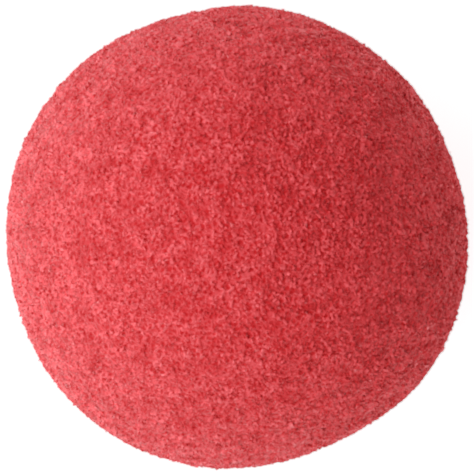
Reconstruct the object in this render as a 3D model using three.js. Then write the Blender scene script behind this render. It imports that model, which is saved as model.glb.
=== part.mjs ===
// A foam clown nose: one ball of soft red open-cell foam, trimmed flat at the back, with a blind round
// hollow cored into it for the wearer's own nose. Millimetres, +Z up. The origin is the centre of the
// hollow's mouth, in the plane of the flat back. +Z runs away from the wearer's face, through the front of
// the ball, and the nose stands on its flat back. +X is to the right and +Y up for someone who faces the
// wearer.
import * as THREE from "three";

// The ball
const BALL_RADIUS = 25; // to the middle of the foam's rough surface

// The hollow that the wearer's nose goes into
const HOLLOW_RADIUS = 10;
const HOLLOW_DEPTH = 24;
const END_ROUNDING = 2.2; // where the wall meets the hollow's flat end
const MOUTH_ROUNDING = 0.9; // where the wall meets the flat back
const SEAT_WIDTH = 1.7; // of the flat ring round the mouth that lies against the face

// How far the foam was cut out of round, read off the ball's outline. Each row is a broad swell or dent:
// its middle as a bearing from +X towards +Y and a latitude above the equator, in degrees, the angle that
// it reaches from there, in degrees, and its height as a share of the ball's radius, below 0 for a dent.
const SWELLS = [
  { bearing: 333, latitude: 4, reach: 34, height: 0.017 },
  { bearing: 292, latitude: 6, reach: 30, height: -0.016 },
  { bearing: 240, latitude: 2, reach: 32, height: 0.007 },
  { bearing: 190, latitude: 5, reach: 32, height: -0.012 },
  { bearing: 140, latitude: 0, reach: 34, height: 0.007 },
  { bearing: 105, latitude: 8, reach: 24, height: -0.006 },
  { bearing: 80, latitude: 3, reach: 20, height: 0.006 },
  { bearing: 44, latitude: -4, reach: 22, height: 0.005 },
  { bearing: 21, latitude: 5, reach: 18, height: -0.007 },
  { bearing: 2, latitude: 0, reach: 18, height: 0.004 },
  { bearing: 215, latitude: 52, reach: 40, height: 0.005 },
  { bearing: 40, latitude: 50, reach: 38, height: -0.006 },
];

// Facets
const FACETS_ROUND = 72;
const BALL_ROWS = 34; // from the front of the ball to the edge of the flat back
const ROUNDING_ROWS = 4;
const WALL_ROWS = 6;
const SEAT_ROWS = 2;
const END_ROWS = 3;

const FOAM_RED = new THREE.Color(0xd04348);

// The flat back cuts the ball where the seat ring ends, and that sets how high the ball's centre is.
const SEAT_RADIUS = HOLLOW_RADIUS + MOUTH_ROUNDING + SEAT_WIDTH;
const CENTRE_HEIGHT = Math.sqrt(BALL_RADIUS ** 2 - SEAT_RADIUS ** 2);
const BALL_CENTRE = new THREE.Vector3(0, 0, CENTRE_HEIGHT);

// A unit vector from a bearing and a latitude in degrees.
function direction(bearing, latitude) {
  const b = THREE.MathUtils.degToRad(bearing);
  const l = THREE.MathUtils.degToRad(latitude);
  return new THREE.Vector3(Math.cos(l) * Math.cos(b), Math.cos(l) * Math.sin(b), Math.sin(l));
}

// Points of an arc in the profile's plane (radius, height), from one angle to another, without the first.
function arc(centre, radius, from, to, rows) {
  const points = [];
  for (let row = 1; row <= rows; row++) {
    const angle = from + ((to - from) * row) / rows;
    const spoke = new THREE.Vector2(Math.cos(angle), Math.sin(angle));
    points.push(spoke.multiplyScalar(radius).add(centre));
  }
  return points;
}

// Points of a straight run in the profile's plane, without the first.
function run(from, to, rows) {
  const points = [];
  for (let row = 1; row <= rows; row++) points.push(from.clone().lerp(to, row / rows));
  return points;
}

// The profile from the middle of the hollow's end, down its wall, over the flat back and round the ball.
function foamProfile() {
  const quarter = Math.PI / 2;
  const endMiddle = new THREE.Vector2(0, HOLLOW_DEPTH);
  const endEdge = new THREE.Vector2(HOLLOW_RADIUS - END_ROUNDING, HOLLOW_DEPTH);
  const endCorner = new THREE.Vector2(endEdge.x, HOLLOW_DEPTH - END_ROUNDING);
  const wallTop = new THREE.Vector2(HOLLOW_RADIUS, endCorner.y);
  const wallFoot = new THREE.Vector2(HOLLOW_RADIUS, MOUTH_ROUNDING);
  const mouthCorner = new THREE.Vector2(HOLLOW_RADIUS + MOUTH_ROUNDING, MOUTH_ROUNDING);
  const seatInside = new THREE.Vector2(mouthCorner.x, 0);
  const seatOutside = new THREE.Vector2(SEAT_RADIUS, 0);
  const ballMiddle = new THREE.Vector2(0, CENTRE_HEIGHT);
  const backAngle = Math.atan2(-CENTRE_HEIGHT, SEAT_RADIUS);
  const points = [
    endMiddle,
    ...run(endMiddle, endEdge, END_ROWS),
    ...arc(endCorner, END_ROUNDING, quarter, 0, ROUNDING_ROWS),
    ...run(wallTop, wallFoot, WALL_ROWS),
    ...arc(mouthCorner, MOUTH_ROUNDING, 2 * quarter, 3 * quarter, ROUNDING_ROWS),
    ...run(seatInside, seatOutside, SEAT_ROWS),
    ...arc(ballMiddle, BALL_RADIUS, backAngle, quarter, BALL_ROWS),
  ];
  points[points.length - 1].x = 0;
  return points;
}

// How far a swell lifts the surface in a direction from the ball's centre, as a share of its radius.
function lift(swell, towards) {
  const away = THREE.MathUtils.radToDeg(towards.angleTo(direction(swell.bearing, swell.latitude)));
  return away < swell.reach ? swell.height * (1 - (away / swell.reach) ** 2) ** 2 : 0;
}

// Moves the points of the ball's outside along their radii. The flat back and the hollow stay put.
function swellBall(geometry) {
  const position = geometry.getAttribute("position");
  const point = new THREE.Vector3();
  const surface = BALL_RADIUS * (1 - 1e-5);
  for (let i = 0; i < position.count; i++) {
    point.fromBufferAttribute(position, i).sub(BALL_CENTRE);
    if (point.length() < surface) continue;
    const towards = point.clone().normalize();
    const share = SWELLS.reduce((sum, swell) => sum + lift(swell, towards), 0);
    point.addScaledVector(towards, BALL_RADIUS * share).add(BALL_CENTRE);
    position.setXYZ(i, point.x, point.y, point.z);
  }
}

// The whole foam body as one closed skin, turned about +Z.
function foamBall() {
  const geometry = new THREE.LatheGeometry(foamProfile(), FACETS_ROUND);
  geometry.rotateX(Math.PI / 2);
  swellBall(geometry);
  geometry.computeVertexNormals();
  const material = new THREE.MeshStandardMaterial({ color: FOAM_RED, roughness: 0.95, metalness: 0 });
  const mesh = new THREE.Mesh(geometry, material);
  mesh.name = "foam_ball";
  return mesh;
}

const clownNose = new THREE.Group();
clownNose.add(foamBall());

export default clownNose;
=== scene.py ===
"""A foam clown nose for Blender: open-cell foam, cut to a ball, standing on its flat back under soft light.

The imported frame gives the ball's true surface. The foam is grown to that surface: a pitted skin a little below
it, and the struts of the foam's cells between the two, cut off where the ball was cut.
"""

import math

import bpy
import numpy as np
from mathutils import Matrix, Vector, noise
from mathutils.bvhtree import BVHTree


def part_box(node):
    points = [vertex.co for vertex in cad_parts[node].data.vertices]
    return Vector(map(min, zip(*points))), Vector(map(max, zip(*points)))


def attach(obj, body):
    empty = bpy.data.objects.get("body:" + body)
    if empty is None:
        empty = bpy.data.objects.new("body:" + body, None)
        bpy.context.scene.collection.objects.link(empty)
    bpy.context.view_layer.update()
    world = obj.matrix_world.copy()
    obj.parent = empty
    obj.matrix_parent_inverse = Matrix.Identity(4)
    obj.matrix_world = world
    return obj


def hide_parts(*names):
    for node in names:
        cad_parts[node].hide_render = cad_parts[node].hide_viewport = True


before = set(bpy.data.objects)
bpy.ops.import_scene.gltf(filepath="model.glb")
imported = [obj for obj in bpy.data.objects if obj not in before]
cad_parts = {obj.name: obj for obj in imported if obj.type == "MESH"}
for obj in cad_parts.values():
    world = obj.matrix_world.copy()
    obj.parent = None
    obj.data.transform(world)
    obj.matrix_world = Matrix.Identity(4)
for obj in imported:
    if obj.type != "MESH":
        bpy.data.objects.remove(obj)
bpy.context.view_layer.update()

MM = 0.001

# The photograph's frame, and the ball's outline in it, in pixels
IMAGE = (474, 476)
OUTLINE_MIDDLE = (235.6, 237.7)
OUTLINE_RADIUS = 230.5

# The foam's cells
CELL = 0.65 * MM  # edge of the cube of foam that two cells fill
CELL_JITTER = 0.7  # how far a cell's middle strays, in cell edges
NODE_JITTER = 0.09  # how far a meeting point of struts strays by itself, in cell edges
WARP = 0.66  # how far the whole block's cells wander, in cell edges
WARP_WAVES = 14
WARP_LENGTHS = (9.0, 24.0)  # in cell edges
BLOCK = 0.62  # half the width of the block of foam, as a share of half the diagonal of the ball's box
FACE_NODES = 4  # meeting points of struts on each face of a cube
CUBE_NODES = 3 * FACE_NODES  # each cube counts three of its faces as its own
NODE_CELLS = 4  # cells that touch each meeting point

# How the ball was cut from the foam
ROUGHNESS = 0.03 * MM  # how uneven the cut is
ROUGH_WAVES = 16
ROUGH_LENGTHS = (0.9 * MM, 3.5 * MM)
TORN = 0.03 * MM  # how far a cell that tore stands proud of the cut, or lies below it, at most
OVERHANG = 0.015 * MM  # mean length that a cut strut stands proud of the surface
MOST_OVERHANG = 0.25 * MM
BROKEN = 0.06  # share of the struts that are missing

# The struts
STRUT_RADIUS = 0.165 * MM
RIDGES_TO = 0.12 * MM  # struts this near to the surface have a ridge, and deeper ones are flat
STRUTS_TO = 0.22 * MM
STRUTS_TO_INSIDE = 0.15 * MM  # in the hollow
POINT = (330, 210, 90)  # degrees round a strut to the corners of its section
RIDGE = (200, 90, -20)
FLAT = (180, 0)
TWIST = 0.25  # how far a strut is turned about its own length at random
RADIUS_SPREAD = 0.25  # of the logarithm of the struts' radii
HOLLOW_COSINE = 0.5  # of the angle between the normal and the way out from the middle, less in the hollow

# The skin under the struts
SKIN_DEPTH = 0.10 * MM  # along the walls between its pits
SKIN_STEP = 0.42 * MM  # width of its facets, about
PIT_DEPTH = 0.24 * MM  # more, where a pit's middle is nearer than the next one's by a cell edge
PIT_FLOOR = 0.7  # how much nearer it is where the pit gets no deeper, in cell edges

# Colours, from the outermost tips of the struts to the bottoms of the pits. STRUT_RED is the foam's own red;
# the paler tips are painted sheen, and the deeper reds below are painted shade, heaviest in the pits
TIP_SHEEN_RED = (0.98, 0.083, 0.095)
STRUT_RED = (0.97, 0.07, 0.08)
DEEP_SHADE_RED = (0.89, 0.047, 0.055)
PIT_SHADE_RED = (0.5, 0.0053, 0.0078)
PORE = 0.6 * MM  # edge of the cube that holds one pore, painted with shade
PORE_WANDER = 0.25 * PORE  # how far the pores are pulled out of round
PATCH = 2.0 * MM  # size of the random patches that go part way to the painted shade
WALL_CELL = CELL * 0.9  # edge of the cube that holds one of the cells that show on the skin
WALL_WANDER = 0.4 * CELL
WANDER_LENGTH = 0.8  # of the waves that pull a pattern's cells out of round, in cells
GRAIN = 0.07 * MM  # length of the fine bumps on the struts
GRAIN_HEIGHT = 0.01 * MM
WALL_HEIGHT = 0.2 * MM

# Where one colour or height gives way to another: two ends, by depth in mm or by place in a pattern, and the
# share at each of them, which is 0 and 1 where none is given
# Depths over which the painted sheen of the tips gives way to the strut's red, and that to the painted shade
TIP_SHEEN_TO_STRUT = (-0.12, 0.06)
STRUT_TO_DEEP_SHADE = (0.04, 0.3)
TINT = (0, 1, 0, 0.15)  # how much deeper a strut's own random number makes its red
DEPTH_SHADE = (-0.08, 0.08, 0.45, 1)  # painted shade, by depth, in the pores and patches
PORE_SHADE_EDGE = (0.22, 0.48, 1, 0)  # painted shade of a pore, outwards from its middle, in pores
PATCH_EDGE = (0.4, 0.68, 0, 0.6)
WALL_TO_HOLLOW_SHADE = (0.04, 0.30)  # from a wall of the cells that show on the skin, in cells, to the painted shade of the cell's hollow
WALL_SLOPE = (0, 0.3, 1, 0)

# How the camera's film answers to light: brightness in the scene, as a share of white's, and in the picture
WHITE = 2.2
FILM = ((0.136, 0.276), (0.273, 0.475), (0.455, 0.64), (0.636, 0.75), (0.818, 0.865))
BLUR = 2.2  # width that each point of the picture gathers light from, in pixels

# The camera, the light and the floor, in metres, degrees and watts
CAMERA_AWAY = 0.5  # from the ball's middle
SENSOR = 36  # width of what the camera's lens projects onto, in mm
KEY_AWAY = 0.9  # from the ball's middle
KEY_ACROSS = 3.2
KEY_WATTS = 104
KEY_BEARING = 188  # from +X towards +Y
KEY_HEIGHT = 20  # above level
ROOM_LIGHT = 0.39
ROOM_SEEN = 3.0  # as the camera sees it, as white as the floor
FLOOR_REACH = 0.85  # from its middle to its sides
FLOOR_PALENESS = 0.6
FLOOR_GLOW = 1.8

# Places of the colour sockets on Blender's Mix node, whose names are those of its other sockets too
MIX_FACTOR = 0
MIX_FIRST = 6
MIX_SECOND = 7
MIX_RESULT = 2

MOST_TRIANGLES = 195000  # in one piece
SEED = 7


def surface_of(node):
    """The node's surface as a tree that gives the nearest point on it."""
    mesh = node.data
    mesh.calc_loop_triangles()
    points = [v.co.copy() for v in mesh.vertices]
    triangles = [tuple(t.vertices) for t in mesh.loop_triangles]
    return BVHTree.FromPolygons(points, triangles)


def depths_and_normals(surface, points):
    """How deep each point lies below the surface, below 0 outside it, and the surface's normal there."""
    depths = np.empty(len(points))
    normals = np.empty((len(points), 3))
    for i, point in enumerate(points.tolist()):
        point = Vector(point)
        nearest, normal, _, distance = surface.find_nearest(point)
        depths[i] = distance if (nearest - point).dot(normal) > 0 else -distance
        normals[i] = normal
    return depths, normals


def turned(rng):
    """A random turn, so that no row of cells lines up with the ball."""
    matrix, _ = np.linalg.qr(rng.normal(size=(3, 3)))
    return matrix * np.sign(np.linalg.det(matrix))


def waves(points, rng, count, lengths, size):
    """Smooth random moves of the points, of about the given size, as the sum of some plane waves."""
    moved = np.zeros_like(points)
    for _ in range(count):
        towards = rng.normal(size=3)
        wave = 2 * math.pi / rng.uniform(*lengths) * towards / np.linalg.norm(towards)
        push = rng.normal(size=3) * size / math.sqrt(count / 2)
        moved += np.sin(points @ wave + rng.uniform(0, 2 * math.pi))[:, None] * push
    return moved


def unit(vectors):
    """The vectors at length 1, apart from any that have no length."""
    return vectors / np.maximum(np.linalg.norm(vectors, axis=1), 1e-9)[:, None]


class FoamBlock:
    """A block of foam with fourteen-sided cells, which the ball is cut from.

    Cells sit at the corners and the middles of a grid of cubes. Struts meet on the cubes' faces, four times
    on each, and each meeting point belongs to four cells.
    """

    def __init__(self, middle, half_size):
        rng = np.random.default_rng(SEED)
        self.middle = middle
        self.half_size = half_size
        self.count = int(math.ceil(2 * half_size / CELL)) + 2
        self.turn = turned(rng)
        shape = (self.count, self.count, self.count, 4)
        spread = np.array([CELL_JITTER, CELL_JITTER, CELL_JITTER, TORN])
        self.corner_cells = rng.uniform(-1, 1, shape).astype(np.float32) * spread
        self.middle_cells = rng.uniform(-1, 1, shape).astype(np.float32) * spread
        self.rng = rng

    def placed(self, at):
        """Where places in the grid lie in the ball's frame."""
        at = at - self.count / 2
        wander = waves(at, np.random.default_rng(SEED + 2), WARP_WAVES, WARP_LENGTHS, WARP)
        return (at + wander) * CELL @ self.turn.T + self.middle

    def cubes_near(self, surface, reach):
        """The grid's cubes with struts that come within reach of the surface."""
        steps = np.arange(self.count)
        cubes = np.stack(np.meshgrid(steps, steps, steps, indexing="ij"), -1).reshape(-1, 3)
        out = np.linalg.norm(cubes + 0.5 - self.count / 2, axis=1)
        cubes = cubes[out < self.half_size / CELL]
        depths, _ = depths_and_normals(surface, self.placed(cubes + 0.5))
        cubes = cubes[(depths < reach + CELL) & (depths > -MOST_OVERHANG - CELL)]
        return cubes[np.all((cubes > 1) & (cubes < self.count - 2), axis=1)]

    def struts(self, surface, reach):
        """The struts' meeting points, how far the cut rises at each, and the pairs that struts join."""
        cubes = self.cubes_near(surface, reach)
        axes = np.eye(3, dtype=int)
        strides = np.array([self.count**2, self.count, 1]) * CUBE_NODES
        numbers = cubes @ strides
        points, rises, keys, pairs = [], [], [], []
        for across in range(3):
            u, v = (across + 1) % 3, (across + 2) % 3
            for k, (along, other, side) in enumerate(((u, v, 1), (u, v, 0), (v, u, 1), (v, u, 0))):
                corner = cubes + side * axes[along]
                cells = (
                    self.middle_cells[tuple(cubes.T)]
                    + self.middle_cells[tuple((cubes - axes[across]).T)]
                    + self.corner_cells[tuple(corner.T)]
                    + self.corner_cells[tuple((corner + axes[other]).T)]
                ) / NODE_CELLS
                # A meeting point lies a quarter of an edge from the middle of its face.
                at = cubes + 0.5 - 0.5 * axes[across] + (0.5 * side - 0.25) * axes[along]
                points.append(at + cells[:, :3])
                rises.append(cells[:, 3])
                keys.append(numbers + across * FACE_NODES + k)
            ring = numbers + across * FACE_NODES
            pairs += [np.stack((ring + i, ring + j), 1) for i, j in ((0, 2), (2, 1), (1, 3), (3, 0))]
            for side_u in (0, 1):
                for side_v in (0, 1):
                    first = (cubes + side_u * axes[u]) @ strides + u * FACE_NODES + (0 if side_v else 1)
                    second = (cubes + side_v * axes[v]) @ strides + v * FACE_NODES + (2 if side_u else 3)
                    pairs.append(np.stack((first, second), 1))
        points, rises, keys, pairs = map(np.concatenate, (points, rises, keys, pairs))
        points += self.rng.normal(size=points.shape) * NODE_JITTER
        order = np.argsort(keys)
        found = np.minimum(np.searchsorted(keys[order], pairs), len(order) - 1)
        known = np.all(keys[order][found] == pairs, axis=1)
        return self.placed(points), rises, order[found[known]]


def mesh_piece(name, points, faces, material, **attributes):
    """A piece of triangles, smooth shaded, with one number for each point under each attribute's name."""
    mesh = bpy.data.meshes.new(name)
    mesh.vertices.add(len(points))
    mesh.vertices.foreach_set("co", np.asarray(points, np.float32).ravel())
    mesh.loops.add(3 * len(faces))
    mesh.loops.foreach_set("vertex_index", np.asarray(faces, np.int32).ravel())
    mesh.polygons.add(len(faces))
    mesh.polygons.foreach_set("loop_start", np.arange(0, 3 * len(faces), 3, dtype=np.int32))
    mesh.polygons.foreach_set("use_smooth", np.ones(len(faces), bool))
    for key, values in attributes.items():
        layer = mesh.attributes.new(key, "FLOAT", "POINT")
        layer.data.foreach_set("value", np.asarray(values, np.float32))
    mesh.update(calc_edges=True)
    mesh.validate()
    mesh.materials.append(material)
    piece = bpy.data.objects.new(name, mesh)
    bpy.context.scene.collection.objects.link(piece)
    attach(piece, "root")
    return piece


def section(struts, angles):
    """The corners round each strut's middle line at the given angles, as moves from that line."""
    turns = np.radians(angles)[None, :, None]
    around = np.cos(turns) * struts["sideways"][:, None] + np.sin(turns) * struts["outward"][:, None]
    return around * struts["radius"][:, None, None]


def strut_pieces(name, struts, angles, pointed, material):
    """Pieces of struts with the given section. A pointed strut narrows from its foot to its top."""
    around = len(angles)
    moves = section(struts, angles)
    feet = struts["foot"][:, None] + moves
    tops = struts["top"][:, None] if pointed else struts["top"][:, None] + moves
    corners = np.concatenate((feet, tops), 1)
    corners[:, :, 2] = np.maximum(corners[:, :, 2], 0)
    if pointed:
        sides = [(i, (i + 1) % around, around) for i in range(around)]
    else:
        sides = []
        for i in range(around - 1):
            sides += [(i, i + around, i + 1 + around), (i, i + 1 + around, i + 1)]
    sides = np.array(sides)
    each = corners.shape[1]
    depth = np.repeat(struts["depth"], (around, each - around), axis=1)
    pieces = math.ceil(len(corners) * len(sides) / MOST_TRIANGLES)
    for number, part in enumerate(np.array_split(np.arange(len(corners)), pieces), 1):
        triangles = (np.arange(len(part)) * each)[:, None, None] + sides
        mesh_piece(
            f"{name}_{number}",
            corners[part].reshape(-1, 3),
            triangles.reshape(-1, 3),
            material,
            depth=depth[part].ravel() / MM,
            tint=np.repeat(struts["tint"][part], each),
        )


def foam_struts(surface, material):
    """The foam's struts from the cut surface down to STRUTS_TO."""
    low, high = map(np.array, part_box("foam_ball"))
    middle = (low + high) / 2
    block = FoamBlock(middle, BLOCK * np.linalg.norm(high - middle))
    points, rises, pairs = block.struts(surface, STRUTS_TO)
    depths, normals = depths_and_normals(surface, points)
    uneven = waves(points, np.random.default_rng(SEED + 3), ROUGH_WAVES, ROUGH_LENGTHS, ROUGHNESS)
    # The root gives the mean of a few cells' random rises the spread that each of them has.
    depths += uneven[:, 0] + math.sqrt(NODE_CELLS) * rises
    rng = np.random.default_rng(SEED + 1)

    # The end that lies nearer to the surface comes first.
    swap = depths[pairs[:, 0]] > depths[pairs[:, 1]]
    pairs[swap] = pairs[swap][:, ::-1]
    outer, inner = depths[pairs].T
    normal = normals[pairs[:, 1]]
    half_way = (np.maximum(outer, 0) + inner) / 2
    hollow = np.sum(unit(points[pairs[:, 1]] - middle) * normal, axis=1) < HOLLOW_COSINE
    whole = rng.random(len(pairs)) > BROKEN
    keep = (inner > 0) & (half_way < np.where(hollow, STRUTS_TO_INSIDE, STRUTS_TO)) & whole
    pairs, outer, inner, normal = pairs[keep], outer[keep], inner[keep], normal[keep]
    half_way, hollow = half_way[keep], hollow[keep]

    # A strut that reaches further out than it may stand proud is cut off there.
    proud = np.minimum(rng.exponential(OVERHANG, len(pairs)), MOST_OVERHANG)
    cut = outer < -proud
    share = np.where(cut, (outer + proud) / (outer - inner), 0)
    top, foot = points[pairs[:, 0]], points[pairs[:, 1]]
    top = top + (foot - top) * share[:, None]
    lengthwise = unit(top - foot)
    sideways = np.cross(normal, lengthwise) + rng.normal(size=normal.shape) * TWIST
    sideways = unit(sideways - lengthwise * np.sum(sideways * lengthwise, axis=1)[:, None])
    struts = {
        "top": top,
        "foot": foot,
        "sideways": sideways,
        "outward": np.cross(lengthwise, sideways),
        "radius": STRUT_RADIUS * rng.lognormal(0, RADIUS_SPREAD, len(pairs)),
        "depth": np.stack((inner, np.where(cut, -proud, outer)), 1),
        "tint": rng.random(len(pairs)),
    }
    ridged = ~cut & (half_way < RIDGES_TO) & ~hollow
    order = np.argsort(foot[:, 2])
    for name, chosen, angles, pointed in (
        ("foam_tips", cut, POINT, True),
        ("foam_struts", ridged, RIDGE, False),
        ("foam_deep_struts", ~cut & ~ridged, FLAT, False),
    ):
        rows = order[chosen[order]]
        strut_pieces(name, {key: value[rows] for key, value in struts.items()}, angles, pointed, material)


def foam_skin(node, surface, material):
    """The foam body itself: the cut surface's form, a little inside it, all pits."""
    rough = bpy.data.objects.new("rough", node.data.copy())
    bpy.context.scene.collection.objects.link(rough)
    remesh = rough.modifiers.new("even", "REMESH")
    remesh.mode = "VOXEL"
    remesh.voxel_size = SKIN_STEP
    shape = rough.evaluated_get(bpy.context.evaluated_depsgraph_get()).to_mesh()
    shape.calc_loop_triangles()
    points = np.array([v.co for v in shape.vertices])
    faces = np.array([t.vertices for t in shape.loop_triangles])
    bpy.data.objects.remove(rough)

    _, normals = depths_and_normals(surface, points)
    sink = np.empty(len(points))
    for i, point in enumerate(points.tolist()):
        nearest, second = noise.voronoi(Vector(point) / CELL)[0][:2]
        sink[i] = SKIN_DEPTH + PIT_DEPTH * min(second - nearest, PIT_FLOOR)
    points = points - normals * sink[:, None]
    piece = mesh_piece("foam_ball_skin", points, faces, material, depth=sink / MM)
    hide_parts("foam_ball")


class Finish:
    """A material with its shader, and short ways to build up its nodes."""

    def __init__(self, name):
        self.material = bpy.data.materials.new(name)
        self.material.use_nodes = True
        self.nodes = self.material.node_tree.nodes
        self.shader = self.nodes["Principled BSDF"]

    def link(self, output, socket):
        """Feeds a node's output into a socket, or sets the socket to a plain value."""
        if isinstance(output, bpy.types.NodeSocket):
            self.material.node_tree.links.new(output, socket)
        else:
            socket.default_value = output

    def attribute(self, name):
        """The mesh's own number of that name."""
        node = self.nodes.new("ShaderNodeAttribute")
        node.attribute_name = name
        return node.outputs["Fac"]

    def mapped(self, value, start, end, low=0.0, high=1.0):
        """The value's place from start to end, as a number from low to high."""
        node = self.nodes.new("ShaderNodeMapRange")
        self.link(value, node.inputs["Value"])
        for name, number in (("From Min", start), ("From Max", end), ("To Min", low), ("To Max", high)):
            node.inputs[name].default_value = number
        return node.outputs["Result"]

    def mixed(self, factor, first, second):
        """A colour from the first to the second."""
        node = self.nodes.new("ShaderNodeMix")
        node.data_type = "RGBA"
        self.link(factor, node.inputs[MIX_FACTOR])
        self.link(first, node.inputs[MIX_FIRST])
        self.link(second, node.inputs[MIX_SECOND])
        return node.outputs[MIX_RESULT]

    def noise(self, size, detail=2.0):
        """A soft random pattern with lumps of the given size."""
        node = self.nodes.new("ShaderNodeTexNoise")
        node.inputs["Scale"].default_value = 1 / size
        node.inputs["Detail"].default_value = detail
        self.link(self.nodes.new("ShaderNodeTexCoord").outputs["Object"], node.inputs["Vector"])
        return node.outputs

    def cells(self, feature, size, wander):
        """How far each place is from the middles (F1) or walls of random cells, as a share of their size."""
        moved = self.nodes.new("ShaderNodeVectorMath")
        moved.operation = "MULTIPLY_ADD"
        self.link(self.noise(size * WANDER_LENGTH)["Color"], moved.inputs[0])
        moved.inputs[1].default_value = (wander, wander, wander)
        self.link(self.nodes.new("ShaderNodeTexCoord").outputs["Object"], moved.inputs[2])
        node = self.nodes.new("ShaderNodeTexVoronoi")
        node.feature = feature
        node.inputs["Scale"].default_value = 1 / size
        self.link(moved.outputs["Vector"], node.inputs["Vector"])
        return node.outputs["Distance"]

    def bump(self, height, distance, strength):
        """Bumps of the given height in metres."""
        node = self.nodes.new("ShaderNodeBump")
        node.inputs["Distance"].default_value = distance
        node.inputs["Strength"].default_value = strength
        self.link(height, node.inputs["Height"])
        self.link(node.outputs["Normal"], self.shader.inputs["Normal"])


def rgba(colour):
    """The colour as a shader takes it."""
    return (*colour, 1)


def foam_finish(name):
    """The matt, slightly downy red that all of the foam has."""
    finish = Finish(name)
    finish.shader.inputs["Roughness"].default_value = 0.8
    finish.shader.inputs["Specular IOR Level"].default_value = 0.12
    finish.shader.inputs["Sheen Weight"].default_value = 0.15
    finish.shader.inputs["Sheen Roughness"].default_value = 0.5
    finish.shader.inputs["Sheen Tint"].default_value = rgba((1.0, 0.8, 0.81))
    return finish


def coloured(finish, colour, depth):
    """Paints shade into the foam's colour: in the pores, for the shadowed hollows between struts, and part way
    in some random patches, above all deep down.
    """
    # Painted shade: the colour taken towards the pits' shaded red, more so deeper down
    painted_shade = finish.mixed(finish.mapped(depth, *DEPTH_SHADE), colour, rgba(PIT_SHADE_RED))
    # Painted shade in round pores, standing in for the shadowed holes between the struts
    pores = finish.mapped(finish.cells("F1", PORE, PORE_WANDER), *PORE_SHADE_EDGE)
    colour = finish.mixed(pores, colour, painted_shade)
    # Random patches that go part way to the painted shade
    patches = finish.mapped(finish.noise(PATCH, detail=1)["Fac"], *PATCH_EDGE)
    finish.link(finish.mixed(patches, colour, painted_shade), finish.shader.inputs["Base Color"])


def strut_material():
    """Struts: painted sheen makes the cut tips palest, painted shade makes them deeper red down in the cells,
    and no two are quite alike.
    """
    finish = foam_finish("foam_struts")
    depth = finish.attribute("depth")
    # Painted sheen at the cut tips, then painted shade deeper in the cells
    colour = finish.mixed(finish.mapped(depth, *TIP_SHEEN_TO_STRUT), rgba(TIP_SHEEN_RED), rgba(STRUT_RED))
    colour = finish.mixed(finish.mapped(depth, *STRUT_TO_DEEP_SHADE), colour, rgba(DEEP_SHADE_RED))
    colour = finish.mixed(finish.mapped(finish.attribute("tint"), *TINT), colour, rgba(DEEP_SHADE_RED))
    coloured(finish, colour, depth)
    finish.bump(finish.noise(GRAIN)["Fac"], GRAIN_HEIGHT, strength=0.3)
    return finish.material


def skin_material():
    """The skin under the struts: painted deep shade, heaviest in the hollows of the next cells down and lighter
    along their walls, which also stand up as bumps.
    """
    finish = foam_finish("foam_skin")
    walls = finish.cells("DISTANCE_TO_EDGE", WALL_CELL, WALL_WANDER)
    # Painted shade: the cells' hollows take the pits' shaded red, their walls the deep shaded red
    colour = finish.mixed(finish.mapped(walls, *WALL_TO_HOLLOW_SHADE), rgba(DEEP_SHADE_RED), rgba(PIT_SHADE_RED))
    coloured(finish, colour, finish.attribute("depth"))
    finish.bump(finish.mapped(walls, *WALL_SLOPE), WALL_HEIGHT, strength=0.7)
    return finish.material


def camera_above(middle, ball_radius):
    """The camera, straight above the front of the nose, framed as the photograph is."""
    pixel = ball_radius / OUTLINE_RADIUS
    data = bpy.data.cameras.new("camera")
    data.sensor_width = SENSOR
    # The sensor's width takes the picture's longer side, which is its height.
    half_view = math.tan(math.asin(ball_radius / CAMERA_AWAY)) * IMAGE[1] / 2 / OUTLINE_RADIUS
    data.lens = SENSOR / 2 / half_view
    data.clip_start = 0.01
    camera = bpy.data.objects.new("camera", data)
    right = (IMAGE[0] / 2 - OUTLINE_MIDDLE[0]) * pixel
    up = (OUTLINE_MIDDLE[1] - IMAGE[1] / 2) * pixel
    camera.location = middle + Vector((right, up, CAMERA_AWAY))
    bpy.context.scene.collection.objects.link(camera)
    bpy.context.scene.camera = camera


def key_light(middle):
    """One very large soft light, low on the left."""
    data = bpy.data.lights.new("key", "AREA")
    data.shape = "DISK"
    data.size = KEY_ACROSS
    data.energy = KEY_WATTS
    key = bpy.data.objects.new("key", data)
    bearing = math.radians(KEY_BEARING)
    height = math.radians(KEY_HEIGHT)
    across = math.cos(height)
    towards = Vector((across * math.cos(bearing), across * math.sin(bearing), math.sin(height)))
    key.location = middle + towards * KEY_AWAY
    key.rotation_euler = towards.to_track_quat("Z", "Y").to_euler()
    bpy.context.scene.collection.objects.link(key)


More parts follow.
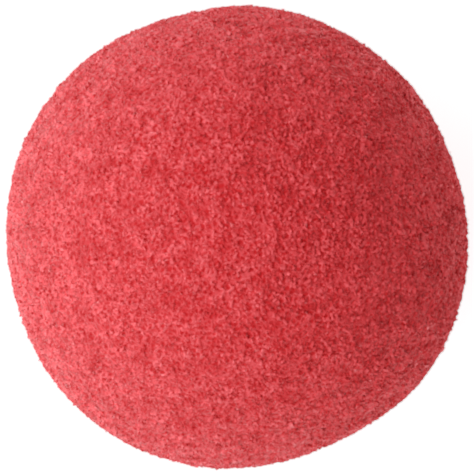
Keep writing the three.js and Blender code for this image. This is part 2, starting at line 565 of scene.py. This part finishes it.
def pale_floor():
    """A wide white floor that glows a little, so that it stays pale next to the ball."""
    corners = [(x * FLOOR_REACH, y * FLOOR_REACH, 0) for x, y in ((-1, -1), (1, -1), (1, 1), (-1, 1))]
    mesh = bpy.data.meshes.new("floor")
    mesh.from_pydata(corners, [], [(0, 1, 2, 3)])
    paper = Finish("paper")
    paper.shader.inputs["Base Color"].default_value = rgba((FLOOR_PALENESS, FLOOR_PALENESS, FLOOR_PALENESS))
    paper.shader.inputs["Roughness"].default_value = 0.9
    paper.shader.inputs["Emission Color"].default_value = rgba((1, 1, 1))
    paper.shader.inputs["Emission Strength"].default_value = FLOOR_GLOW
    mesh.materials.append(paper.material)
    floor = bpy.data.objects.new("floor", mesh)
    bpy.context.scene.collection.objects.link(floor)


def white_room():
    """Weak even white light from all round, which the camera sees as a white background."""
    world = bpy.data.worlds.new("room")
    world.use_nodes = True
    nodes, links = world.node_tree.nodes, world.node_tree.links
    nodes["Background"].inputs["Color"].default_value = rgba((1, 1, 1))
    strength = nodes.new("ShaderNodeMapRange")
    strength.inputs["To Min"].default_value = ROOM_LIGHT
    strength.inputs["To Max"].default_value = ROOM_SEEN
    links.new(nodes.new("ShaderNodeLightPath").outputs["Is Camera Ray"], strength.inputs["Value"])
    links.new(strength.outputs["Result"], nodes["Background"].inputs["Strength"])
    bpy.context.scene.world = world


def film():
    """The picture's softness and tones: bright parts level off slowly towards white, as on film."""
    bpy.context.scene.cycles.filter_width = BLUR
    view = bpy.context.scene.view_settings
    view.view_transform = "Standard"
    view.use_curve_mapping = True
    mapping = view.curve_mapping
    mapping.white_level = (WHITE, WHITE, WHITE)
    for place in FILM:
        mapping.curves[3].points.new(*place)
    mapping.update()


low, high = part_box("foam_ball")
ball_radius = (high.x - low.x + high.y - low.y) / 4
ball_middle = Vector((0, 0, high.z - ball_radius))
camera_above(ball_middle, ball_radius)
key_light(ball_middle)
pale_floor()
white_room()
film()

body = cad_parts["foam_ball"]
cut_surface = surface_of(body)
foam_skin(body, cut_surface, skin_material())
foam_struts(cut_surface, strut_material())
